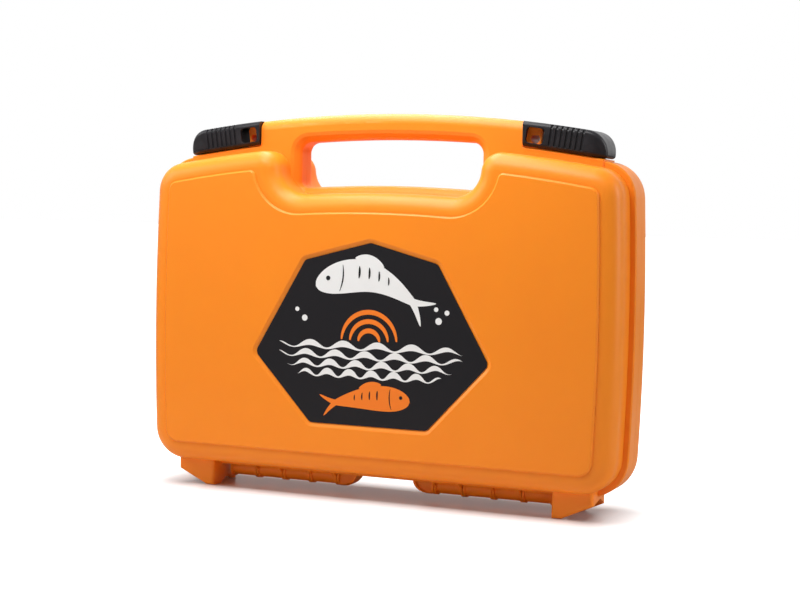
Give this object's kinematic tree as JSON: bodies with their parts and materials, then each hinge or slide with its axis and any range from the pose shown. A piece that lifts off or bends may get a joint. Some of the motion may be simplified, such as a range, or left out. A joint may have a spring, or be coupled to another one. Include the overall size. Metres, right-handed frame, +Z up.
{
  "type": "lure box",
  "caption": "Upright clamshell carrying case for fishing lures, with a moulded grip, two sliding latches over a padlock eye, a pinned hinge along its foot and slotted foam inside.",
  "frame": {"origin": "on the floor under the middle of the width, in the parting plane of the two shells", "axes": "+X along the width, +Y from the lid at the front to the base at the back, +Z up"},
  "size_m": [0.3652, 0.08, 0.2745],
  "materials": {
    "shell": "orange moulded polypropylene, satin",
    "latch": "black moulded plastic, satin",
    "pin": "drawn wire",
    "label": "printed film, gloss",
    "foam": "dark closed-cell foam"
  },
  "bodies": {
    "base": {"base_shell": "shell", "base_foam": "foam", "left_hinge_pin": "pin", "right_hinge_pin": "pin"},
    "lid": {"lid_shell": "shell", "lid_foam": "foam", "label_plate": "label"},
    "left_latch": {"left_latch": "latch"},
    "right_latch": {"right_latch": "latch"}
  },
  "joints": [
    {"name": "lid_hinge", "type": "hinge", "parent": "base", "child": "lid", "pos_m": [0, 0, 0.0115], "axis": [1, 0, 0], "range_deg": [0, 135]},
    {"name": "left_latch_slide", "type": "slide", "parent": "base", "child": "left_latch", "axis": [-0.99, 0, -0.141], "range_m": [0, 0.015]},
    {"name": "right_latch_slide", "type": "slide", "parent": "base", "child": "right_latch", "axis": [0.99, 0, -0.141], "range_m": [0, 0.015]}
  ]
}
